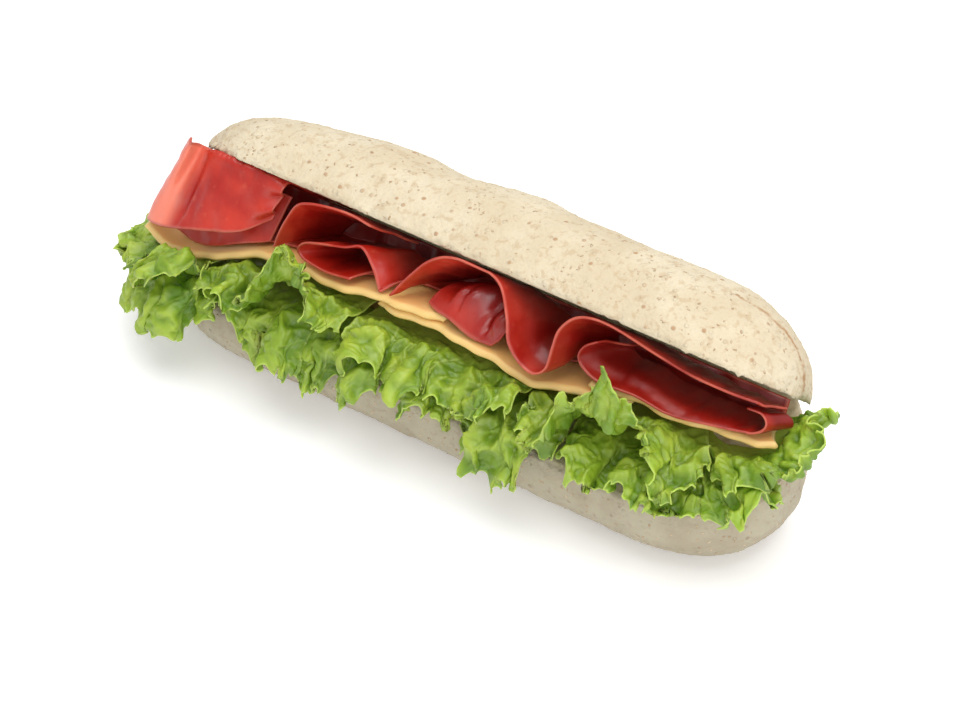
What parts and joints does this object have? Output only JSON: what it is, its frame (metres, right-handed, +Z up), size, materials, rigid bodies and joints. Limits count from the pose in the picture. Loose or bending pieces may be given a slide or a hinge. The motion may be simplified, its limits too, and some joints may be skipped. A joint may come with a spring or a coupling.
{
  "type": "submarine sandwich",
  "caption": "Hinged bread roll opened at the front, filled with ruffled lettuce, cheese slices and folded slices of dried red meat",
  "frame": {"origin": "centre of the bounding box's base, on the table the roll lies on", "axes": "+X along the roll from left to right as seen from its open front, -Y towards the open front, +Z up"},
  "size_m": [0.2624, 0.0834, 0.0855],
  "materials": {
    "bread_crust": "matt floury crust with bran flecks",
    "cheese": "smooth satin",
    "dried_meat": "moist satin",
    "lettuce": "slightly glossy leaf"
  },
  "bodies": {
    "root": {"bread_roll": "bread_crust", "cheese_slice_1": "cheese", "cheese_slice_2": "cheese", "cheese_slice_3": "cheese", "meat_slice_1": "dried_meat", "meat_slice_2": "dried_meat", "meat_slice_3": "dried_meat", "meat_slice_4": "dried_meat", "meat_slice_5": "dried_meat", "meat_slice_6": "dried_meat", "meat_slice_7": "dried_meat", "lettuce_leaf_1": "lettuce", "lettuce_leaf_2": "lettuce", "lettuce_leaf_3": "lettuce", "lettuce_leaf_4": "lettuce", "lettuce_leaf_5": "lettuce", "lettuce_leaf_6": "lettuce", "lettuce_leaf_7": "lettuce", "lettuce_leaf_8": "lettuce", "lettuce_leaf_9": "lettuce"}
  },
  "joints": []
}
